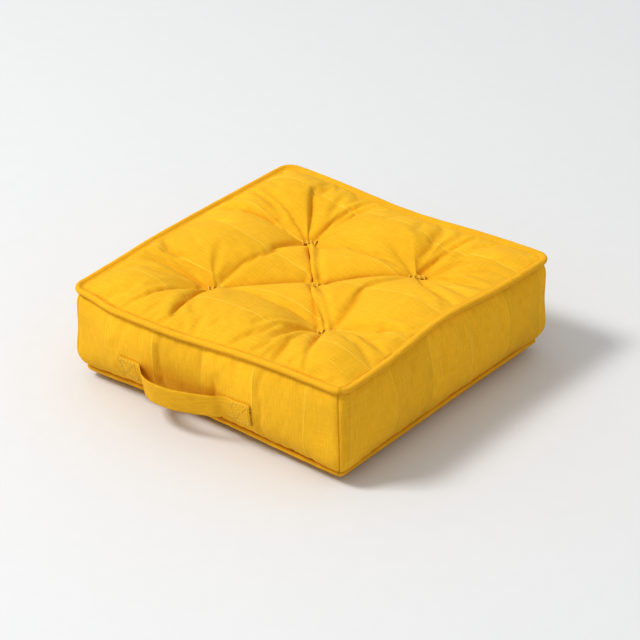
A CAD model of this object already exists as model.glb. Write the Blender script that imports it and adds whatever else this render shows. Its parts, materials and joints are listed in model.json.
"""The looks of a square tufted floor cushion with piped seams and a carrying strap, in metres.

The casing is one closed net of cloth: top panel, boxing and bottom rim. It is stuffed by cloth
simulation while its seams stay on the piping and its five tufts are drawn down, and is then cut
into its panels. The piping runs along the net's two seams, the tufts stand where the frame has
them, and the strap follows the front of the boxing.
"""
import json
import math

import bpy
import numpy as np
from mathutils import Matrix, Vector, noise
from mathutils.bvhtree import BVHTree

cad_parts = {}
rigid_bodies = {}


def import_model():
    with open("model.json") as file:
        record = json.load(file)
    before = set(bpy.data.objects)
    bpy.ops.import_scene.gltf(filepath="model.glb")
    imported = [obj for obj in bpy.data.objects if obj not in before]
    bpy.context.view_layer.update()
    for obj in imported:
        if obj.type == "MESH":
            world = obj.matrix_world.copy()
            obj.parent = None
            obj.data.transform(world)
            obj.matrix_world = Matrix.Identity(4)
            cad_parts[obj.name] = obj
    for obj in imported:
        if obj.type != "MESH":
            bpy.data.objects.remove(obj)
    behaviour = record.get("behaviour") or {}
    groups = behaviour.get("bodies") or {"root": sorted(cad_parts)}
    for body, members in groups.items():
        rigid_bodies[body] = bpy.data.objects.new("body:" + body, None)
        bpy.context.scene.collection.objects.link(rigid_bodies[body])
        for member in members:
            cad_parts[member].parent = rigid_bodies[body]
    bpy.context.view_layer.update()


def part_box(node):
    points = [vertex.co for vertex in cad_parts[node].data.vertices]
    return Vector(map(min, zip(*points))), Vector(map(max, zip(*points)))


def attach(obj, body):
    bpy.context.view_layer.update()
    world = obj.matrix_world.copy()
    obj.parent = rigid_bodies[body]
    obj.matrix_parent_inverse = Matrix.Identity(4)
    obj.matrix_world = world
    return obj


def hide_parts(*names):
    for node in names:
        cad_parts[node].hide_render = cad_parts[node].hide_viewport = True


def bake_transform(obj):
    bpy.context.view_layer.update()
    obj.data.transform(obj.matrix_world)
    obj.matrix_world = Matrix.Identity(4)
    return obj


for leftover in list(bpy.data.objects):
    bpy.data.objects.remove(leftover)
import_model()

# ---------------------------------------------------------------- sizes, from the frame
TOP_LOW, TOP_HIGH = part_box("piping_cover_top")
BOTTOM_LOW, BOTTOM_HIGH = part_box("piping_cover_bottom")
BEAD_R = (TOP_HIGH.z - TOP_LOW.z) / 2
SEAM_TOP = (TOP_HIGH.z + TOP_LOW.z) / 2
SEAM_BOTTOM = (BOTTOM_HIGH.z + BOTTOM_LOW.z) / 2
BEAD_TOP = TOP_HIGH.x - BEAD_R
BEAD_BOTTOM = BOTTOM_HIGH.x - BEAD_R
CORD_LOW, CORD_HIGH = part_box("piping_cord_top")
CORD_R = (CORD_HIGH.z - CORD_LOW.z) / 2
CORNER_R = 0.015                            # of the top piping's centre line
HUB = BEAD_TOP - CORNER_R                   # corners turn about (HUB, HUB)
WALL_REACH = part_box("boxing_right")[1].x    # the boxing at its widest
CROWN_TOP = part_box("top_panel")[1].z
CLOTH_THICK = 0.0012
MID_HEIGHT = 0.06                           # about half way up the cushion
TUFTS = []                                  # the middle of each tuft's stitches, on top
TUFT_FEET = []                              # and under the cushion
for number in range(1, 6):
    low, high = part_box(f"tuft_twine_{number}")
    TUFTS.append(Vector(((low.x + high.x) / 2, (low.y + high.y) / 2, high.z)))
    TUFT_FEET.append(Vector((TUFTS[-1].x, TUFTS[-1].y, low.z)))
STITCH_TURN = math.radians(38)              # direction of the tufts' stitches
ALONG = Vector((math.cos(STITCH_TURN), math.sin(STITCH_TURN), 0))
ACROSS = Vector((-ALONG.y, ALONG.x, 0))

# ---------------------------------------------------------------- the net of the casing
CELLS = 44                                  # cells from a panel's middle to its rim
AROUND = 8 * CELLS                          # cells round a seam
WALL_ROWS = 24
SIDES = ("right", "back", "left", "front")
RIM = BEAD_TOP - BEAD_R                     # where the top panel meets its piping
RIM_BOTTOM = BEAD_BOTTOM - BEAD_R
NET_RUN = 0.42                              # share of a panel, from its rim, over which it rises
NET_LOW = 0.004                             # the net's crown is this far below the frame's
NET_NARROW = 0.006                          # and its wall this far inside the frame's boxing

# How the piping wanders from a true square: side, where along it, how wide, out and up, in mm
SEAM_WANDER = {
    "top": [("front", -0.35, 0.6, 9, -7), ("right", -0.05, 0.4, -6, 5), ("back", 0.0, 0.5, -7, -3),
            ("left", 0.5, 0.3, -2, 0)],
    "bottom": [("front", -0.1, 0.6, -4, 2), ("right", 0.2, 0.4, 1, 2), ("back", 0.0, 0.5, -4, 1)],
}
# How far each corner droops, in mm: right-back, back-left, left-front, front-right
CORNER_DROOP = {"top": (1, 0, 7, 1), "bottom": (0, 0, 0, 0)}
BOTTOM_TUCK = 0.0045                        # the bottom piping is drawn in under the boxing

# Creases of the top: the line in mm, how deep in mm
T1, T2, T3, T4, T5 = [(tuft.x * 1000, tuft.y * 1000) for tuft in TUFTS]
CREASES = [
    ([T1, (-64, -140), (-57, -200)], 3.0),
    ([T1, (-100, -140), (-120, -196)], 2.0),
    ([T1, (-128, -74), (-176, -88)], 2.5),
    ([T2, (-108, 92), (-155, 108)], 2.5),
    ([T2, (-90, 112), (-112, 140)], 2.0),
    ([T2, (-56, 130), (-46, 180)], 2.0),
    ([T3, (92, 130), (104, 178)], 2.0),
    ([T3, (118, 92), (160, 108)], 1.5),
    ([T4, (86, -130), (95, -198)], 3.5),
    ([T4, (108, -130), (140, -192)], 2.5),
    ([T4, (52, -104), (34, -150)], 2.5),
    ([T5, T1], 2.5),
    ([T5, T3], 2.5),
    ([(-4, 4), (-34, 36), (-70, 68)], 3.0),
    ([(12, 6), (-18, 42), (-58, 82)], 3.0),
    ([(2, -14), (34, -46), (72, -86)], 3.0),
    ([(16, -4), (52, -34), (88, -70)], 3.0),
]
GATHERS = (-138, -126, -87, -59, -5, 37, 68, 117)   # short creases by the front seam, measured x in mm
CREASES += [([(x - 3, -190), (x + 7, -166)], 2.0) for x in GATHERS]
CREASE_WIDTH = 0.0035
# Ridges between the tufts: the line in mm, how high in mm
RIDGES = [([(-2, 10), (-48, 62)], 3.5), ([(16, -16), (66, -68)], 3.5)]
RIDGE_WIDTH = 0.0045


def smooth(t):
    """Eases from 0 to 1 as t does, and stays there outside."""
    t = min(max(t, 0.0), 1.0)
    return t * t * (3 - 2 * t)


def rounded_side(reach, radius, t):
    """A point on the +X side of a rounded square; t runs from -1 to 1 along the side."""
    straight = reach - radius
    run = abs(t) * (straight + radius * math.pi / 4)
    if run <= straight or radius < 1e-6:
        return reach, math.copysign(min(run, reach), t)
    angle = (run - straight) / radius
    return straight + radius * math.cos(angle), math.copysign(straight + radius * math.sin(angle), t)


def quarter_turn(x, y, side):
    """A point of the +X side carried round to another side."""
    return ((x, y), (-y, x), (-x, -y), (y, -x))[side]


def wander(place, side, t):
    """How far out and up the seam lies from the square there, in metres."""
    corner = side if t > 0 else side - 1
    out = -BOTTOM_TUCK if place == "bottom" else 0.0
    up = -CORNER_DROOP[place][corner] / 1000 * smooth((abs(t) - 0.3) / 0.7)
    for name, middle, width, shift_out, shift_up in SEAM_WANDER[place]:
        if SIDES[side] == name:
            share = math.exp(-((t - middle) / width) ** 2) * smooth((1 - abs(t)) / 0.35)
            out += shift_out / 1000 * share
            up += shift_up / 1000 * share
    return out, up


def near_line(x, y, lines, width):
    """The most that any line's amount reaches at a point, fading over width, in metres."""
    place = Vector((x, y))
    amount = 0.0
    for line, most in lines:
        corners = [Vector(corner) / 1000 for corner in line]
        for start, end in zip(corners, corners[1:]):
            run = end - start
            share = min(max((place - start).dot(run) / run.length_squared, 0.0), 1.0)
            gap = (place - start - run * share).length
            if gap < 3 * width:
                amount = max(amount, most / 1000 * math.exp(-(gap / width) ** 2))
    return amount


def groove(x, y):
    return near_line(x, y, CREASES, CREASE_WIDTH)


def ridge(x, y):
    return near_line(x, y, RIDGES, RIDGE_WIDTH)


def ring_cell(index):
    """Which side a place round a seam is on, and its t there."""
    side, step = divmod(index % AROUND, 2 * CELLS)
    return side, step / CELLS - 1


def seam_point(place, index):
    """A point of the piping's centre line."""
    bead, height = (BEAD_TOP, SEAM_TOP) if place == "top" else (BEAD_BOTTOM, SEAM_BOTTOM)
    side, t = ring_cell(index)
    x, y = rounded_side(bead, bead - HUB, t)
    out, up = wander(place, side, t)
    return Vector((*quarter_turn(x + out, y, side), height + up))


def grid_side(i, j):
    """The ring of a grid point round the panel's middle, its side and its t."""
    ring = max(abs(i), abs(j))
    if ring == 0:
        return 0, 0, 0.0
    if i == ring and j < ring:
        return ring, 0, j / ring
    if j == ring and i > -ring:
        return ring, 1, -i / ring
    if i == -ring and j > -ring:
        return ring, 2, -j / ring
    return ring, 3, i / ring


def grid_points():
    """The (i, j) of every point of a panel's grid."""
    return [(i, j) for i in range(-CELLS, CELLS + 1) for j in range(-CELLS, CELLS + 1)]


def grid_cells():
    """The four corners of every cell of a panel's grid, anticlockwise from above."""
    low = range(-CELLS, CELLS)
    return [((i, j), (i + 1, j), (i + 1, j + 1), (i, j + 1)) for i in low for j in low]


def rim_cell(index):
    """The grid point of the rim at a place round a seam."""
    side, step = divmod(index % AROUND, 2 * CELLS)
    m = step - CELLS
    return ((CELLS, m), (-m, CELLS), (-CELLS, -m), (m, -CELLS))[side]


def wall_faces(rows, columns=range(AROUND)):
    """Faces between the rows of the wall's vertices, along some of its columns."""
    faces = []
    for upper, lower in zip(rows, rows[1:]):
        for column in columns:
            p, q = column % AROUND, (column + 1) % AROUND
            faces.append((upper[p], lower[p], lower[q], upper[q]))
    return faces


def panel_point(i, j, rim):
    """A grid point of a flat panel whose rim is a rounded square, its share of the way out,
    and its side and t."""
    ring, side, t = grid_side(i, j)
    share = ring / CELLS
    x, y = rounded_side(rim * share, (rim - HUB) * share ** 2, t)
    return quarter_turn(x, y, side), share, side, t


def build_net():
    """The flat-cut casing over the filling: its vertices, faces, top grid and boxing rows."""
    points, faces = [], []
    grid = {}
    for i, j in grid_points():
        (x, y), share, side, t = panel_point(i, j, RIM)
        out, up = wander("top", side, t)
        dx, dy = quarter_turn(out, 0.0, side)
        pull = share ** 4
        crown = smooth((1 - share) / NET_RUN) * (CROWN_TOP - NET_LOW - SEAM_TOP)
        dip = groove(x, y) * (1 - share ** 12)
        grid[i, j] = len(points)
        points.append((x + dx * pull, y + dy * pull, SEAM_TOP + up * pull + crown - dip))
    rows = [[grid[rim_cell(p)] for p in range(AROUND)]]
    for row in range(1, WALL_ROWS + 1):
        down = row / WALL_ROWS
        base = RIM * (1 - down) + RIM_BOTTOM * down
        reach = base + (WALL_REACH - NET_NARROW - base) * (1 - abs(2 * down - 1) ** 5)
        height = SEAM_TOP * (1 - down) + SEAM_BOTTOM * down
        names = []
        for p in range(AROUND):
            side, t = ring_cell(p)
            top_out, top_up = wander("top", side, t)
            low_out, low_up = wander("bottom", side, t)
            x, y = rounded_side(reach, reach - HUB, t)
            out = top_out * (1 - down) + low_out * down
            up = top_up * (1 - down) + low_up * down
            names.append(len(points))
            points.append((*quarter_turn(x + out, y, side), height + up))
        rows.append(names)
    faces += [tuple(grid[corner] for corner in corners) for corners in grid_cells()]
    faces += wall_faces(rows)
    lid = tuple(reversed(rows[-1]))
    return points, faces + [lid], grid, rows


# ---------------------------------------------------------------- meshes
def mesh_object(name, points, faces, cloth=None):
    """A smooth mesh; cloth gives each point's place on the flat cloth, for the weave."""
    mesh = bpy.data.meshes.new(name)
    mesh.from_pydata([tuple(point) for point in points], [], faces)
    if cloth is not None:
        layer = mesh.attributes.new("cloth", "FLOAT_VECTOR", "POINT")
        layer.data.foreach_set("vector", np.array(cloth, dtype=float).ravel())
    mesh.polygons.foreach_set("use_smooth", [True] * len(mesh.polygons))
    thing = bpy.data.objects.new(name, mesh)
    bpy.context.scene.collection.objects.link(thing)
    return thing


def coordinates(mesh):
    """The places of a mesh's vertices, as rows of an array."""
    flat = np.empty(len(mesh.vertices) * 3)
    mesh.vertices.foreach_get("co", flat)
    return flat.reshape(-1, 3)


def applied(thing):
    """The object's mesh with its modifiers applied."""
    bpy.context.view_layer.update()
    graph = bpy.context.evaluated_depsgraph_get()
    return bpy.data.meshes.new_from_object(thing.evaluated_get(graph))


def apply_all(thing):
    """Applies the object's modifiers to it."""
    mesh = applied(thing)
    thing.modifiers.clear()
    thing.data = mesh


def refine(thing):
    """Subdivides a piece once."""
    finer = thing.modifiers.new("finer", "SUBSURF")
    finer.levels = finer.render_levels = 1
    finer.boundary_smooth = "PRESERVE_CORNERS"
    apply_all(thing)


def thicken(thing):
    """Gives cloth its thickness, inwards."""
    sheet = thing.modifiers.new("sheet", "SOLIDIFY")
    sheet.thickness = CLOTH_THICK
    sheet.offset = -1.0
    apply_all(thing)


def sweep(name, path, profile, closed):
    """A tube: the profile's (out, up) points carried along (middle, out, up) stations."""
    points, cloth, faces = [], [], []
    size = len(profile)
    girth = [0.0]
    for first, second in zip(profile, profile[1:]):
        girth.append(girth[-1] + math.dist(first, second))
    run = 0.0
    for index, (middle, out, up) in enumerate(path):
        if index:
            run += (middle - path[index - 1][0]).length
        for (a, b), around in zip(profile, girth):
            points.append(middle + out * a + up * b)
            cloth.append((around, run, 0.0))
    for index in range(len(path) - (0 if closed else 1)):
        here, there = index * size, (index + 1) % len(path) * size
        for k in range(size):
            n = (k + 1) % size
            faces.append((here + k, here + n, there + n, there + k))
    if not closed:
        faces.append(tuple(range(size - 1, -1, -1)))
        last = (len(path) - 1) * size
        faces.append(tuple(range(last, last + size)))
    return mesh_object(name, points, faces, cloth)


def circle(radius, count):
    """A round profile for a tube."""
    turns = [2 * math.pi * k / count for k in range(count)]
    return [(radius * math.cos(turn), radius * math.sin(turn)) for turn in turns]


def stations(line):
    """(middle, out, up) along an open line of points, turned as little as possible."""
    path = []
    up = Vector((0, 0, 1))
    last = len(line) - 1
    for index, middle in enumerate(line):
        before = line[max(index - 1, 0)]
        after = line[min(index + 1, last)]
        ahead = (after - before).normalized()
        out = ahead.cross(up)
        if out.length < 0.05:
            out = ahead.cross(path[-1][2] if path else Vector((0, 1, 0)))
        out.normalize()
        up = out.cross(ahead).normalized()
        path.append((middle, out, up))
    return path


# ---------------------------------------------------------------- stuffing the casing
PRESSURE = 80
SPARE_MOST, SPARE_LEAST = -0.12, -0.02      # cloth beyond the flat size, as a shrink factor
STEPS = 30
DRAWN_BY = 10                               # the step by which the tufts are down
GRIP_LENGTH, GRIP_WIDTH = 0.015, 0.0055     # half sizes of the cloth that one tuft holds
DRAWN_LENGTH, DRAWN_WIDTH = 0.55, 0.5       # what drawing leaves of that cloth's length and width
DRAWN_RISE = 0.3                            # how steeply it rises to each side of the stitches
TUFT_SINK = 0.005
MOST_MOVE = 0.030                           # the furthest that stuffing moves a point
RIM_TAUT, RIM_TAUT_FRONT = 1.0, 0.6         # of the top panel at its rim
RIM_TAUT_REACH = 0.05                       # how far in from the rim that fades
WALL_TAUT = 0.96
WALL_LOOSE, WALL_LOOSE_RIGHT = 0.06, 0.5    # taken off it: everywhere, and under the right's top seam
LOOSE_ROWS = 14                             # rows over which the right side tightens again


def pinched(points, grid):
    """Where the tufts' stitches draw the cloth that they hold, by vertex."""
    drawn = {}
    for tuft in TUFTS:
        for v in grid.values():
            offset = Vector((points[v][0] - tuft.x, points[v][1] - tuft.y, 0))
            a, b = offset.dot(ALONG), offset.dot(ACROSS)
            if (a / GRIP_LENGTH) ** 2 + (b / GRIP_WIDTH) ** 2 < 1:
                spot = tuft + ALONG * a * DRAWN_LENGTH + ACROSS * b * DRAWN_WIDTH
                drawn[v] = (spot.x, spot.y, tuft.z - TUFT_SINK + abs(b) * DRAWN_RISE)
    return drawn


def tautness(grid, rows):
    """1 where the cloth has nothing to spare and 0 where it is cut fullest, by vertex."""
    taut = {}
    for (i, j), v in grid.items():
        ring, side, _ = grid_side(i, j)
        most = RIM_TAUT_FRONT if SIDES[side] == "front" else RIM_TAUT
        taut[v] = most * (1 - smooth((1 - ring / CELLS) * RIM / RIM_TAUT_REACH))
    for depth, row in enumerate(rows[1:]):
        for p, v in enumerate(row):
            side, _ = ring_cell(p)
            loose = WALL_LOOSE
            if SIDES[side] == "right":
                loose = WALL_LOOSE_RIGHT * (1 - smooth(depth / LOOSE_ROWS))
            taut[v] = WALL_TAUT - loose
    return taut


def stuffed(points, faces, grid, rows):
    """The net's points when it is full, from cloth pressed outwards against its seams."""
    flat = np.array(points)
    net = mesh_object("net", points, faces)
    drawn = pinched(points, grid)
    held = net.vertex_groups.new(name="held")
    held.add(rows[0] + rows[-1] + list(drawn), 1.0, "REPLACE")
    taut = net.vertex_groups.new(name="taut")
    for v, amount in tautness(grid, rows).items():
        taut.add([v], amount, "REPLACE")
    net.shape_key_add(name="flat")
    key = net.shape_key_add(name="drawn")
    for v, spot in drawn.items():
        key.data[v].co = spot
    for value, step in ((0, 1), (1, DRAWN_BY)):
        key.value = value
        key.keyframe_insert("value", frame=step)
    cloth = net.modifiers.new("stuffing", "CLOTH")
    cloth.point_cache.frame_end = STEPS
    cloth.collision_settings.use_collision = False
    feel = cloth.settings
    feel.quality = 6
    feel.mass = 0.15
    feel.vertex_group_mass = held.name
    feel.vertex_group_shrink = taut.name
    feel.shrink_min, feel.shrink_max = SPARE_MOST, SPARE_LEAST
    feel.tension_stiffness = feel.compression_stiffness = 30
    feel.shear_stiffness = 7.5
    feel.bending_stiffness = 2.0
    feel.tension_damping = feel.compression_damping = feel.shear_damping = 5
    feel.bending_damping = 0.5
    feel.air_damping = 3
    feel.use_pressure = True
    feel.use_pressure_volume = False
    feel.uniform_pressure_force = PRESSURE
    feel.effector_weights.gravity = 0
    for step in range(1, STEPS + 1):
        bpy.context.scene.frame_set(step)
    full = coordinates(applied(net))
    bpy.data.objects.remove(net)
    bpy.context.scene.frame_set(1)
    move = full - flat
    length = np.linalg.norm(move, axis=1, keepdims=True)
    return flat + move * np.minimum(1, MOST_MOVE / np.maximum(length, 1e-9))


# ---------------------------------------------------------------- the casing's panels
STRIP_SEAM = 1                              # cells from a corner's middle to the strips' seam
FOLD_REACH = 40                             # rounds of smoothing that give a fold's surroundings
CORNER_SWELL = 0.002                        # of the boxing, beyond the unpressed net
CORE = 0.15                                 # the filling swells away from a square this far out
LOWER_SWELL = 0.0045                        # of the boxing, over the bottom piping
SEAM_SHADE = 0.009                          # fold depth that a seam's own shade stands for
SEAM_DEPTH = 0.0012                         # of the boxing's upright seams
PRESSED_EDGE = 0.012                        # pressed details fade over this much inside the rim
# Where the filling fills out the boxing, as shares of its height or of a half side: from and over
TUCK_FROM, TUCK_OVER = 0.85, 0.15
LOWER_FROM, LOWER_OVER = 0.4, 0.45
CORNER_FROM, CORNER_OVER = 0.68, 0.26
CORNER_SHARE = 0.85                         # how far a corner gives way to its own shape


def fold_depth(points, faces):
    """How far each point lies below its surroundings, in metres; ridges are negative."""
    pairs = set()
    for face in faces:
        for k, v in enumerate(face):
            w = face[k - 1]
            pairs.add((min(v, w), max(v, w)))
    first, second = np.array(sorted(pairs)).T
    near = np.bincount(first, minlength=len(points)) + np.bincount(second, minlength=len(points))
    calm = points.copy()
    for _ in range(FOLD_REACH):
        total = np.zeros_like(calm)
        np.add.at(total, first, calm[second])
        np.add.at(total, second, calm[first])
        calm = (calm + total / near[:, None]) / 2
    middle = np.array((0.0, 0.0, MID_HEIGHT))
    outward = calm - middle
    outward[:, :2] *= (calm[:, 2:] < SEAM_TOP)
    outward /= np.linalg.norm(outward, axis=1, keepdims=True)
    return ((calm - points) * outward).sum(axis=1)


def cut_piece(name, names, faces, places, full, depth):
    """One panel of the casing: faces by vertex name, with each name's place on its cloth."""
    order = {v: k for k, v in enumerate(names)}
    piece = mesh_object(name, [full[v] for v in names], [[order[v] for v in f] for f in faces],
                        [places[v] for v in names])
    layer = piece.data.attributes.new("fold", "FLOAT", "POINT")
    layer.data.foreach_set("value", [depth[v] for v in names])
    refine(piece)
    return piece


def press_details(piece):
    """Narrow creases and ridges of the top panel, finer than the stuffed net can show."""
    mesh = piece.data
    flat = np.empty(len(mesh.vertices) * 3)
    mesh.attributes["cloth"].data.foreach_get("vector", flat)
    spots = coordinates(mesh)
    for spot, (x, y, _) in zip(spots, flat.reshape(-1, 3)):
        inside = smooth((RIM - max(abs(x), abs(y))) / PRESSED_EDGE)
        spot[2] += (ridge(x, y) - 0.5 * groove(x, y)) * inside
    mesh.vertices.foreach_set("co", spots.ravel())
    mesh.update()


def fill_boxing(full, flat, rows):
    """The filling keeps the boxing full at its upright corners and over the bottom piping."""
    for row_number, row in enumerate(rows):
        down = row_number / WALL_ROWS
        swell = 1 - abs(2 * down - 1) ** 4
        tuck = max(0.0, (down - TUCK_FROM) / TUCK_OVER)
        over = smooth((down - LOWER_FROM) / LOWER_OVER) * math.sqrt(max(0.0, 1 - tuck ** 2))
        for p, v in enumerate(row):
            _, t = ring_cell(p)
            share = CORNER_SHARE * swell * smooth((abs(t) - CORNER_FROM) / CORNER_OVER)
            x, y, _ = flat[v]
            outward = np.array((x - np.clip(x, -CORE, CORE), y - np.clip(y, -CORE, CORE), 0.0))
            outward /= np.linalg.norm(outward)
            full[v] += (flat[v] + outward * CORNER_SWELL - full[v]) * share
            full[v] += outward * LOWER_SWELL * over


def build_casing(points, faces, grid, rows):
    """The top panel and the four boxing strips, cut from the stuffed net."""
    full = stuffed(points, faces, grid, rows)
    flat = np.array(points)
    top = list(grid.values())
    fill_boxing(full, flat, rows)
    depth = fold_depth(full, faces[:-1])
    depth[rows[0] + rows[-1]] = SEAM_SHADE
    depth[rows[1] + rows[-2]] += SEAM_SHADE / 3
    seams = [2 * CELLS * turn + (STRIP_SEAM if turn else -STRIP_SEAM) for turn in range(4)]
    for row in rows[1:-1]:
        for seam in seams:
            v = row[seam % AROUND]
            depth[v] = SEAM_SHADE / 2
            outward = np.array((flat[v][0], flat[v][1], 0.0))
            full[v] -= outward / np.linalg.norm(outward) * SEAM_DEPTH
    panel_faces = faces[:(2 * CELLS) ** 2]
    places = {v: (flat[v][0], flat[v][1], 0.0) for v in top}
    pieces = [cut_piece("casing_top", top, panel_faces, places, full, depth)]
    press_details(pieces[0])
    thicken(pieces[0])
    cell = 2 * RIM / (2 * CELLS)
    for turn, side in enumerate(SIDES):
        start, end = seams[turn], seams[(turn + 1) % 4] + (AROUND if turn == 3 else 0)
        columns = list(range(start, end + 1))
        names, places = [], {}
        for row_number, row in enumerate(rows):
            for column in columns:
                v = row[column % AROUND]
                names.append(v)
                places[v] = (row_number / WALL_ROWS * (SEAM_TOP - SEAM_BOTTOM), column * cell, 0.0)
        strip_faces = wall_faces(rows, columns[:-1])
        pieces.append(cut_piece(f"casing_{side}", names, strip_faces, places, full, depth))
        thicken(pieces[-1])
    return full, pieces


FOOT_REACH = 0.044                          # radius of the dimples drawn up into the bottom
FOOT_HALF = 0.006                           # half the flat length of a dimple, along its stitches
FOOT_LIFT = 0.001                           # the cloth is this much above the twine there
EDGE_ROLL = 0.011                           # radius of the underside's edge


def bottom_height(x, y, to_rim):
    """The underside: flat where it rests, rolled up to its seam and dimpled at the tufts."""
    rolled = max(0.0, 1 - to_rim / EDGE_ROLL)
    height = SEAM_BOTTOM * (1 - math.sqrt(1 - rolled ** 2))
    for foot in TUFT_FEET:
        offset = Vector((x - foot.x, y - foot.y, 0))
        gap = math.hypot(max(0.0, abs(offset.dot(ALONG)) - FOOT_HALF), offset.dot(ACROSS))
        height = max(height, (foot.z + FOOT_LIFT) * (1 - smooth(gap / FOOT_REACH)) ** 1.3)
    return height


def build_bottom():
    """The bottom panel, facing down."""
    points, cloth, names = [], [], {}
    for i, j in grid_points():
        (x, y), share, side, t = panel_point(i, j, RIM_BOTTOM)
        out, up = wander("bottom", side, t)
        dx, dy = quarter_turn(out, 0.0, side)
        pull = share ** 6
        height = bottom_height(x, y, RIM_BOTTOM * (1 - share)) + up * share ** 40
        names[i, j] = len(points)
        points.append((x + dx * pull, y + dy * pull, height))
        cloth.append((x, y, 0.0))
    faces = [(names[a], names[d], names[c], names[b]) for a, b, c, d in grid_cells()]
    piece = mesh_object("casing_bottom", points, faces, cloth)
    refine(piece)
    thicken(piece)
    return piece


FILL_TOP, FILL_WALL = 0.972, 0.965          # the filling's size beside the casing's
FILL_UNDER_TOP = 0.0035                     # how far it stays under the top panel
FILL_DROP = 0.001
FILL_INSET = 0.009                          # how much smaller its underside is than the bottom panel
FILL_LIFT = 0.004                           # and how far it stays above it


def build_filling(full, grid, rows):
    """The stuffing just under the cloth, kept below every fold."""
    points, order = [], {}
    for (i, j), v in grid.items():
        around = [grid[i + a, j + b] for a in (-1, 0, 1) for b in (-1, 0, 1) if (i + a, j + b) in grid]
        x, y, _ = full[v]
        order[v] = len(points)
        points.append((x * FILL_TOP, y * FILL_TOP, min(full[w][2] for w in around) - FILL_UNDER_TOP))
    for row in rows[1:]:
        for v in row:
            x, y, z = full[v]
            order[v] = len(points)
            points.append((x * FILL_WALL, y * FILL_WALL, z - FILL_DROP))
    faces = [[order[grid[corner]] for corner in corners] for corners in grid_cells()]
    under = [[v + len(points) for v in reversed(face)] for face in faces]
    faces += [[order[v] for v in face] for face in wall_faces(rows)]
    for i, j in grid:
        (x, y), share, _, _ = panel_point(i, j, RIM_BOTTOM - FILL_INSET)
        height = bottom_height(x, y, RIM_BOTTOM * (1 - share)) + FILL_LIFT
        points.append((x, y, height))
    foot = {v: len(order) + k for k, v in enumerate(grid.values())}
    for p in range(AROUND):
        q = (p + 1) % AROUND
        a, b = foot[grid[rim_cell(p)]], foot[grid[rim_cell(q)]]
        faces.append((order[rows[-1][p]], a, b, order[rows[-1][q]]))
    return mesh_object("filling", points, faces + under)


# ---------------------------------------------------------------- piping
BEAD_SLIM = {"top": 0.84, "bottom": 0.74}   # how tightly the seams pull on the beads
BEAD_WOBBLE = ((0.05, 60), (0.04, 220))     # how much their size varies, and how finely
BEAD_FACETS, CORD_FACETS = 14, 10
CORD_SLACK = 0.1                            # how much slimmer the cord is than its cover allows
FLANGE = ((0.008, 0.0006), (0.001, 0.0008))     # seam allowance: how far in from the bead, half thickness


def seam_stations(place):
    """(middle, out, up) round the piping's centre line."""
    line = [seam_point(place, index) for index in range(AROUND)]
    path = []
    for index, middle in enumerate(line):
        ahead = (line[(index + 1) % AROUND] - line[index - 1]).normalized()
        out = ahead.cross(Vector((0, 0, 1))).normalized()
        path.append((middle, out, out.cross(ahead)))
    return path


def build_piping(place):
    """The covered bead with its seam allowance, and the cord inside it."""
    slim = BEAD_SLIM[place]
    path = []
    for middle, out, up in seam_stations(place):
        swell = slim
        for amount, fineness in BEAD_WOBBLE:
            swell += amount * noise.noise(middle * fineness)
        path.append((middle, out * swell, up * swell))
    bead = [(-BEAD_R - inwards, half) for inwards, half in FLANGE]
    for k in range(1, BEAD_FACETS):
        turn = math.pi - 2 * math.pi * k / BEAD_FACETS
        bead.append((BEAD_R * math.cos(turn), BEAD_R * math.sin(turn)))
    bead += [(-BEAD_R - inwards, -half) for inwards, half in reversed(FLANGE)]
    cover = sweep(f"piping_{place}", path, bead, closed=True)
    refine(cover)
    cord = circle(CORD_R * (slim - CORD_SLACK), CORD_FACETS)
    core = sweep(f"piping_core_{place}", seam_stations(place), cord, closed=True)
    return cover, core


# ---------------------------------------------------------------- tufts
TWINE_R = 0.0011
TWINE_FACETS = 8
LOOPS = 4                                   # short loops of twine over each tuft
LOOP_SPACING = 0.0058
LOOP_REACH, LOOP_RISE = 0.0048, 0.0048      # of a loop, to each side and up
LOOP_SHIFT, LOOP_SLANT = 0.0008, 0.0018     # how unevenly the loops are laid
TIE_REACH, TIE_RISE = 0.011, 0.0026         # of the two strands that run over the loops
TIE_SPREADS = (-0.0011, 0.0012)
SHANK_SPREAD = 0.004                        # from a tuft's middle to each strand through the cushion
KNOT_REACH, KNOT_SINK = 0.008, 0.001        # of the stitch underneath


def joined(name, things):
    """One object from several."""
    bpy.ops.object.select_all(action="DESELECT")
    for thing in things:
        thing.select_set(True)
    bpy.context.view_layer.objects.active = things[0]
    bpy.ops.object.join()
    things[0].name = things[0].data.name = name
    return things[0]


def arch(start, end, rise, steps=7):
    """Points from start to end, over a rise between them."""
    line = []
    for k in range(steps):
        share = k / (steps - 1)
        spot = start.lerp(end, share)
        line.append(spot + Vector((0, 0, rise * math.sin(math.pi * share) ** 0.7)))
    return line


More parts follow.
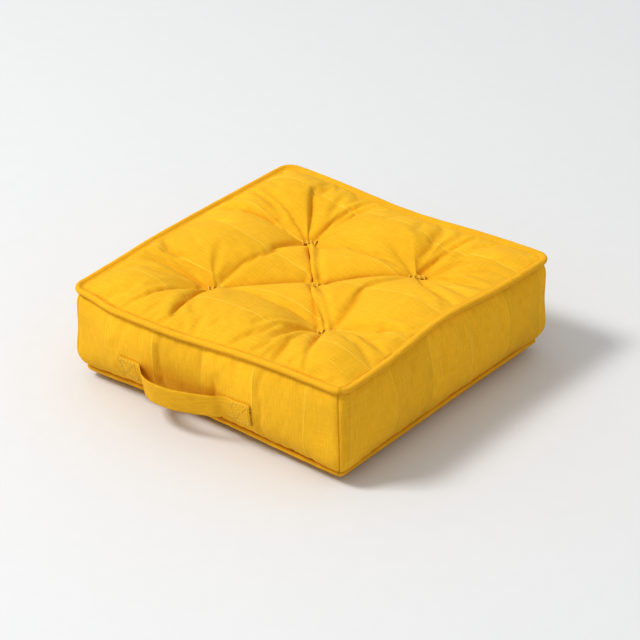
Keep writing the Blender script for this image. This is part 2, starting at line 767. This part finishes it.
def build_tuft(number, top, foot):
    """Twine through the cushion, looped over the cloth that it gathers on both faces."""
    strands = []
    seat = Vector((top.x, top.y, top.z - TUFT_SINK))
    for side in (-1, 1):
        spot = ALONG * side * SHANK_SPREAD
        line = [foot + spot + Vector((0, 0, 0.002)), seat + spot + Vector((0, 0, -0.001))]
        strands.append(stations(line))
    for k in range(LOOPS):
        shift = (k - (LOOPS - 1) / 2) * LOOP_SPACING + LOOP_SHIFT * math.sin(7 * k + number)
        slant = LOOP_SLANT * math.cos(5 * k + 2 * number)
        start = seat + ALONG * (shift - slant) - ACROSS * LOOP_REACH
        end = seat + ALONG * (shift + slant) + ACROSS * LOOP_REACH
        strands.append(stations(arch(start, end, LOOP_RISE)))
    for spread in TIE_SPREADS:
        start = seat - ALONG * TIE_REACH + ACROSS * spread
        end = seat + ALONG * TIE_REACH + ACROSS * spread * -1
        strands.append(stations(arch(start, end, TIE_RISE, 9)))
    start = foot - ALONG * KNOT_REACH + Vector((0, 0, 0.0012))
    end = foot + ALONG * KNOT_REACH + Vector((0, 0, 0.0012))
    knot = [spot - Vector((0, 0, 0.0006)) for spot in arch(start, end, -KNOT_SINK)]
    strands.append(stations(knot))
    tubes = [sweep(f"twine_{k}", path, circle(TWINE_R, TWINE_FACETS), closed=False)
             for k, path in enumerate(strands)]
    return joined(f"tuft_{number}", tubes)


# ---------------------------------------------------------------- the carrying strap
STRAP_LOW, STRAP_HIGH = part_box("handle_loop")
STRAP_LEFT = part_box("handle_end_left")[0].x
STRAP_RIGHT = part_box("handle_end_right")[1].x
STRAP_WIDTH = STRAP_HIGH.z - STRAP_LOW.z
STRAP_MIDDLE = (STRAP_HIGH.z + STRAP_LOW.z) / 2
STRAP_THICK = 0.0026
STRAP_COLUMNS, STRAP_RANKS = 150, 12        # cells along the webbing and across it
STRAP_GAP = 0.0002                          # between it and the boxing
STRAP_LEAN = 0.0056                         # how much further out the loop's top edge is
WALL_AT_STRAP = -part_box("boxing_front")[0].y - 0.0019
PATCH_LENGTH = 0.028
STRAP_TILT = 0.022                          # its right end is sewn a little higher
STRAP_SAG = 0.0012                          # how far the loop hangs
FREE_AT = 0.008                             # this far off, the strap no longer follows the boxing
# How far the strap stands off the boxing: x and distance in mm
STRAP_LINE = [(-118, 0), (-97, 0), (-89, 0.8), (-80, 8), (-70, 17), (-60, 22), (-50, 25), (-35, 25.4),
              (-20, 24.5), (4, 17), (16, 12), (27, 7.5), (38, 3), (46, 0.7), (55, 0), (76, 0)]


def stand_off(x):
    """How far the strap stands off the boxing at x, smoothed, in metres."""
    xs, offs = zip(*STRAP_LINE)
    around = [np.interp((x + step / 1000) * 1000, xs, offs) for step in range(-4, 5)]
    return float(np.mean(around)) / 1000


def wall_finder(boxing_front):
    """A function that gives the boxing's reach along -Y at (x, z)."""
    mesh = boxing_front.data
    tree = BVHTree.FromPolygons([v.co for v in mesh.vertices], [p.vertices for p in mesh.polygons])

    def reach(x, z):
        spot, _, _, _ = tree.ray_cast(Vector((x, -0.4, z)), Vector((0, 1, 0)))
        return -spot.y
    return reach


def strap_point(wall, x, rise, out=0.0):
    """A point of the strap: rise from its middle line, out from its face on the cushion."""
    off = stand_off(x)
    free = smooth(off / FREE_AT)
    z = STRAP_MIDDLE + rise + STRAP_TILT * (x - STRAP_LEFT) - STRAP_SAG * free
    lean = STRAP_LEAN * rise / STRAP_WIDTH
    loose = WALL_AT_STRAP + off + lean
    reach = wall(x, z) * (1 - free) + loose * free
    slope = (stand_off(x + 0.001) - stand_off(x - 0.001)) / 0.002
    normal = Vector((-slope, -1, 0)).normalized()
    return Vector((x, -reach, z)) + Vector((-normal.x, normal.y, 0)) * out


def webbing_outline():
    """The webbing's (rise, out) outline: up its outer face and down its inner one."""
    outer, inner = [], []
    for k in range(STRAP_RANKS + 1):
        rise = (k / STRAP_RANKS - 0.5) * STRAP_WIDTH
        edge = abs(2 * k / STRAP_RANKS - 1)
        fullness = math.sqrt(max(0.0, 1 - edge ** 6))
        outer.append((rise, STRAP_THICK * (0.62 + 0.38 * fullness)))
        inner.append((rise, STRAP_THICK * (0.3 - 0.3 * fullness)))
    return outer + inner[::-1]


def build_strap(wall):
    """The webbing, sewn flat at both ends and standing off as a loop between them."""
    points, cloth, faces = [], [], []
    ring = webbing_outline()
    run, before = 0.0, None
    for column in range(STRAP_COLUMNS + 1):
        x = STRAP_LEFT + (STRAP_RIGHT - STRAP_LEFT) * column / STRAP_COLUMNS
        here = strap_point(wall, x, 0.0)
        run += (here - before).length if before else 0.0
        before = here
        for rise, out in ring:
            points.append(strap_point(wall, x, rise, out + STRAP_GAP))
            cloth.append((rise, run, out))
    size = len(ring)
    for column in range(STRAP_COLUMNS):
        for k in range(size):
            n = (k + 1) % size
            here, there = column * size, (column + 1) * size
            faces.append((here + k, there + k, there + n, here + n))
    faces.append(tuple(range(size)))
    last_ring = STRAP_COLUMNS * size
    faces.append(tuple(range(last_ring + size - 1, last_ring - 1, -1)))
    piece = mesh_object("handle", points, faces, cloth)
    refine(piece)
    return piece


STITCH_LENGTH, STITCH_GAP = 0.0032, 0.0009
STITCH_POINTS = 5                           # points along one stitch
THREAD_R = 0.00045
THREAD_FACETS = 6
THREAD_MARGIN = 0.003                       # from the patch's edge to the box of stitches


def stitched(name, wall, lines):
    """Rows of stitches along lines of (x, rise) on the strap's outer face."""
    tubes = []
    for (x0, r0), (x1, r1) in lines:
        length = math.hypot(x1 - x0, r1 - r0)
        count = max(1, round(length / (STITCH_LENGTH + STITCH_GAP)))
        for k in range(count):
            line = []
            for part in range(STITCH_POINTS):
                share = (k + 0.12 + 0.76 * part / (STITCH_POINTS - 1)) / count
                arching = math.sin(math.pi * part / (STITCH_POINTS - 1))
                lift = STRAP_THICK + STRAP_GAP + THREAD_R * (1.1 * arching - 0.5)
                x, rise = x0 + (x1 - x0) * share, r0 + (r1 - r0) * share
                line.append(strap_point(wall, x, rise, lift))
            thread = circle(THREAD_R, THREAD_FACETS)
            tubes.append(sweep(f"stitch_{k}", stations(line), thread, closed=False))
    return joined(name, tubes)


def box_and_cross(x0, x1):
    """The lines of a stitched box with its diagonals, on a patch from x0 to x1."""
    half = STRAP_WIDTH / 2 - THREAD_MARGIN
    x0, x1 = x0 + THREAD_MARGIN, x1 - THREAD_MARGIN
    corners = [(x0, -half), (x1, -half), (x1, half), (x0, half)]
    lines = list(zip(corners, corners[1:] + corners[:1]))
    return lines + [(corners[0], corners[2]), (corners[1], corners[3])]


# ---------------------------------------------------------------- materials
class Weaver:
    """Adds nodes to one material."""

    def __init__(self, name, roughness, sheen=0.0):
        self.material = bpy.data.materials.new(name)
        self.material.use_nodes = True
        self.tree = self.material.node_tree
        self.shader = self.tree.nodes["Principled BSDF"]
        self.shader.inputs["Roughness"].default_value = roughness
        self.shader.inputs["Sheen Weight"].default_value = sheen
        self.shader.inputs["Sheen Roughness"].default_value = 0.5
        self.shader.inputs["Specular IOR Level"].default_value = 0.1

    def add(self, kind, inputs=(), output=0, **settings):
        """A node with its settings and inputs, by name or number; gives one output."""
        node = self.tree.nodes.new(kind)
        for name, value in settings.items():
            setattr(node, name, value)
        for name, value in dict(inputs).items():
            if isinstance(value, bpy.types.NodeSocket):
                self.tree.links.new(value, node.inputs[name])
            else:
                node.inputs[name].default_value = value
        return node.outputs[output]

    def math(self, operation, *values):
        return self.add("ShaderNodeMath", enumerate(values), operation=operation)

    def place(self):
        """The point's place on the flat cloth: along, across and the pair as a vector."""
        vector = self.add("ShaderNodeAttribute", output="Vector", attribute_name="cloth")
        split = self.tree.nodes.new("ShaderNodeSeparateXYZ")
        self.tree.links.new(vector, split.inputs[0])
        return split.outputs[0], split.outputs[1], vector

    def noise(self, vector, scale, stretch=(1, 1, 1), detail=2.0):
        stretched = self.add("ShaderNodeVectorMath", {0: vector, 1: stretch}, operation="MULTIPLY")
        return self.add("ShaderNodeTexNoise", {"Vector": stretched, "Scale": scale, "Detail": detail})

    def wave(self, value, period):
        """A sine of that period from 0 to 1."""
        turn = self.math("MULTIPLY", value, 2 * math.pi / period)
        return self.math("MULTIPLY_ADD", self.math("SINE", turn), 0.5, 0.5)

    def span(self, value, low, high, to_low=0.0, to_high=1.0):
        """Eases from to_low to to_high as the value goes from low to high."""
        inputs = {"Value": value, "From Min": low, "From Max": high, "To Min": to_low, "To Max": to_high}
        return self.add("ShaderNodeMapRange", inputs, interpolation_type="SMOOTHSTEP")

    def mix(self, share, first, second):
        """A colour that is this share of the way from the first to the second."""
        node = self.tree.nodes.new("ShaderNodeMix")
        node.data_type = "RGBA"
        for socket, value in zip((node.inputs[0], node.inputs[6], node.inputs[7]), (share, first, second)):
            if isinstance(value, bpy.types.NodeSocket):
                self.tree.links.new(value, socket)
            else:
                socket.default_value = value
        return node.outputs[2]

    def scaled(self, colour, amount):
        """A colour made darker or lighter by a value round 1."""
        return self.add("ShaderNodeVectorMath", {0: colour, "Scale": amount}, operation="SCALE")

    def finish(self, colour, layers):
        """Joins the colour and the bumps; each layer is (height from 0 to 1, metres)."""
        self.tree.links.new(colour, self.shader.inputs["Base Color"])
        normal = None
        for height, depth in layers:
            bump = self.tree.nodes.new("ShaderNodeBump")
            bump.inputs["Distance"].default_value = depth
            self.tree.links.new(height, bump.inputs["Height"])
            if normal:
                self.tree.links.new(normal, bump.inputs["Normal"])
            normal = bump.outputs[0]
        self.tree.links.new(normal, self.shader.inputs["Normal"])
        return self.material


RIB_SPACING = 0.070                         # of the thin light lines in the canvas
YARN_SPACING = 0.0011
MUSTARD = (0.83, 0.455, 0.024, 1)
DEEP = (0.66, 0.20, 0.004, 1)               # in folds
LINE_COLOUR = (0.96, 0.64, 0.08, 1)
PIPING_COLOUR = (0.80, 0.42, 0.022, 1)
CORD_COLOUR = (0.85, 0.80, 0.68, 1)
TWINE_COLOUR = (0.90, 0.55, 0.06, 1)
THREAD_COLOUR = (0.93, 0.66, 0.12, 1)
WEBBING_COLOURS = (0.83, 0.445, 0.022, 1), (0.87, 0.49, 0.035, 1)
FIBRE_COLOURS = (0.86, 0.85, 0.82, 1), (0.93, 0.92, 0.9, 1)
FLOOR_COLOURS = (0.69, 0.69, 0.69, 1), (0.695, 0.695, 0.695, 1)


def canvas(name, rib_from, lines_along, base=MUSTARD, bands=True, line_share=0.45):
    """Ribbed cotton canvas: fine yarn, slubs, thin light lines between bands, deeper folds."""
    w = Weaver(name, roughness=0.9, sheen=0.02)
    along, across, vector = w.place()
    if lines_along == "y":
        along, across = across, along
    yarn = w.wave(across, YARN_SPACING)
    picks = w.wave(along, YARN_SPACING * 0.8)
    fine_x, fine_y = (1, 14) if lines_along == "x" else (14, 1)
    slub = w.noise(vector, 60, (fine_x, fine_y, 1), 3)
    cross_slub = w.noise(vector, 45, (fine_y, fine_x, 1), 2)
    cloud = w.noise(vector, 9, (1, 1, 1), 2)
    tone = w.math("ADD", w.span(slub, 0.3, 0.7, 0.93, 1.06), w.span(cross_slub, 0.3, 0.7, -0.03, 0.03))
    tone = w.math("MULTIPLY", tone, w.span(cloud, 0.3, 0.7, 0.96, 1.04))
    tone = w.math("MULTIPLY", tone, w.math("MULTIPLY_ADD", yarn, 0.06, 0.97))
    fold = w.add("ShaderNodeAttribute", output="Fac", attribute_name="fold")
    colour = w.mix(w.span(fold, 0.0, 0.010), base, DEEP)
    layers = [(yarn, 0.00012), (picks, 0.00006), (slub, 0.00025), (cloud, 0.0006)]
    if bands:
        step = w.math("DIVIDE", w.math("SUBTRACT", across, rib_from), RIB_SPACING)
        band = w.add("ShaderNodeTexWhiteNoise", {"W": w.math("FLOOR", step)}, noise_dimensions="1D")
        tone = w.math("MULTIPLY", tone, w.span(band, 0.0, 1.0, 0.95, 1.05))
        gap = w.math("ABSOLUTE", w.math("SUBTRACT", w.math("FRACT", step), 0.5))
        line = w.span(gap, 0.5 - 0.0014 / RIB_SPACING, 0.5 - 0.0003 / RIB_SPACING)
        colour = w.mix(w.math("MULTIPLY", line, line_share), colour, LINE_COLOUR)
        layers.append((line, 0.0003))
    return w.finish(w.scaled(colour, tone), layers)


def webbing():
    """Heavy cotton webbing: ribs across it and a herringbone of warp yarns."""
    w = Weaver("strap_webbing", roughness=0.85, sheen=0.02)
    rise, run, vector = w.place()
    zigzag = w.math("PINGPONG", rise, 0.0025)
    rib = w.wave(w.math("ADD", run, zigzag), 0.0021)
    warp = w.wave(rise, 0.0012)
    slub = w.noise(vector, 90, (6, 1, 1), 2)
    cloud = w.noise(vector, 25, (1, 1, 1), 2)
    tone = w.math("MULTIPLY", w.span(slub, 0.3, 0.7, 0.93, 1.07), w.math("MULTIPLY_ADD", rib, 0.12, 0.93))
    tone = w.math("MULTIPLY", tone, w.span(cloud, 0.3, 0.7, 0.96, 1.04))
    colour = w.mix(w.math("MULTIPLY", warp, 0.25), *WEBBING_COLOURS)
    return w.finish(w.scaled(colour, tone), [(rib, 0.0003), (warp, 0.00012), (slub, 0.0002)])


def twisted(name, colour, twist):
    """Spun thread, twine or cord: strands that wind round it, and some fuzz."""
    w = Weaver(name, roughness=0.7, sheen=0.03)
    around, run, vector = w.place()
    strands = w.wave(w.math("ADD", run, w.math("MULTIPLY", around, 0.8)), twist)
    fuzz = w.noise(vector, 900, (1, 1, 1), 2)
    tone = w.math("MULTIPLY", w.math("MULTIPLY_ADD", strands, 0.25, 0.85), w.span(fuzz, 0.3, 0.7, 0.92, 1.08))
    base = w.add("ShaderNodeRGB")
    base.default_value = colour
    return w.finish(w.scaled(base, tone), [(strands, twist * 0.25), (fuzz, 0.0001)])


def fibre():
    """Carded polyester filling."""
    w = Weaver("filling_fibre", roughness=0.9, sheen=0.1)
    place = w.add("ShaderNodeNewGeometry", output="Position")
    tangle = w.noise(place, 120, (1, 1, 3), 6)
    clump = w.noise(place, 25, (1, 1, 1), 3)
    colour = w.mix(w.span(clump, 0.35, 0.65), *FIBRE_COLOURS)
    tone = w.span(tangle, 0.3, 0.7, 0.9, 1.05)
    return w.finish(w.scaled(colour, tone), [(tangle, 0.0015), (clump, 0.003)])


def floor_paint():
    """Pale paint with a faint grain."""
    w = Weaver("floor_paint", roughness=0.7)
    place = w.add("ShaderNodeNewGeometry", output="Position")
    grain = w.noise(place, 40, (1, 1, 1), 3)
    colour = w.mix(w.span(grain, 0.3, 0.7), *FLOOR_COLOURS)
    return w.finish(w.scaled(colour, w.span(grain, 0.3, 0.7, 0.998, 1.0)), [(grain, 0.00002)])


# ---------------------------------------------------------------- assembly
def dress(piece, material, slot, *nodes, body="cushion"):
    """Gives a piece its material, slot, body and the nodes it stands for; a blended piece has no body."""
    piece.data.materials.clear()
    piece.data.materials.append(material)
    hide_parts(*nodes)
    if body:
        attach(piece, body)


points, faces, grid, rows = build_net()
full, (top_panel, *strips) = build_casing(points, faces, grid, rows)
bottom_panel = build_bottom()
filling = build_filling(full, grid, rows)
top_canvas = canvas("canvas_top", 0.001, "x")
boxing_canvas = canvas("canvas_boxing", 0.012, "x", line_share=0.3)
dress(top_panel, top_canvas, "canvas", "top_panel")
dress(bottom_panel, top_canvas, "canvas", "bottom_panel")
for side, strip in zip(SIDES, strips):
    dress(strip, boxing_canvas, "canvas", f"boxing_{side}")
dress(filling, fibre(), "filling", "fill_block")

bias_canvas = canvas("canvas_piping", 0.0, "y", base=PIPING_COLOUR, bands=False)
cord_cotton = twisted("cord_cotton", CORD_COLOUR, 0.004)
for place in ("top", "bottom"):
    cover, core = build_piping(place)
    dress(cover, bias_canvas, "piping", f"piping_cover_{place}")
    dress(core, cord_cotton, "cord", f"piping_cord_{place}")

twine = twisted("tuft_twine", TWINE_COLOUR, 0.0016)
for number, (top, foot) in enumerate(zip(TUFTS, TUFT_FEET), start=1):
    dress(build_tuft(number, top, foot), twine, "thread", f"tuft_twine_{number}")

wall = wall_finder(strips[SIDES.index("front")])
strap = build_strap(wall)
dress(strap, webbing(), "strap", "handle_end_left", "handle_loop", "handle_end_right", body=None)
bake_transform(strap)
strap_thread = twisted("strap_thread", THREAD_COLOUR, 0.0012)
PATCHES = {"left": (STRAP_LEFT, STRAP_LEFT + PATCH_LENGTH),
           "right": (STRAP_RIGHT - PATCH_LENGTH, STRAP_RIGHT)}
for side, (x0, x1) in PATCHES.items():
    stitching = stitched(f"box_stitches_{side}", wall, box_and_cross(x0, x1))
    dress(stitching, strap_thread, "thread", f"handle_stitching_{side}")

# ---------------------------------------------------------------- floor, light and camera
FLOOR = 9
corners = [(-FLOOR, -FLOOR, 0), (FLOOR, -FLOOR, 0), (FLOOR, FLOOR, 0), (-FLOOR, FLOOR, 0)]
floor = mesh_object("floor", corners, [(0, 1, 2, 3)])
floor.data.materials.append(floor_paint())

scene = bpy.context.scene
scene.view_settings.view_transform = "Standard"
scene.view_settings.look = "Medium High Contrast"
world = bpy.data.worlds.new("studio")
world.use_nodes = True
background = world.node_tree.nodes["Background"]
background.inputs["Color"].default_value = (0.98, 0.99, 1.0, 1)
background.inputs["Strength"].default_value = 0.60
scene.world = world


def area_light(name, place, size, watts):
    """A square light aimed at the cushion's middle."""
    light = bpy.data.lights.new(name, "AREA")
    light.energy = watts
    light.size = size
    lamp = bpy.data.objects.new(name, light)
    lamp.location = place
    lamp.rotation_mode = "QUATERNION"
    aim = Vector((0, 0, MID_HEIGHT)) - lamp.location
    lamp.rotation_quaternion = aim.to_track_quat("-Z", "Y")
    scene.collection.objects.link(lamp)


area_light("key", (-2.2, -2.5, 4.3), size=1.4, watts=182)

AZIMUTH, ELEVATION = math.radians(38.4), math.radians(29.5)
DISTANCE = 2.904
TARGET = Vector((0.0094, 0.0007, 0.060))
flat_reach = math.cos(ELEVATION)
back = Vector((math.sin(AZIMUTH) * flat_reach, -math.cos(AZIMUTH) * flat_reach, math.sin(ELEVATION)))
optics = bpy.data.cameras.new("camera")
optics.lens = 140.6
optics.sensor_width = 36
optics.clip_end = 100
camera = bpy.data.objects.new("camera", optics)
camera.location = TARGET + back * DISTANCE
camera.rotation_mode = "QUATERNION"
camera.rotation_quaternion = (-back).to_track_quat("-Z", "Y")
scene.collection.objects.link(camera)
scene.camera = camera
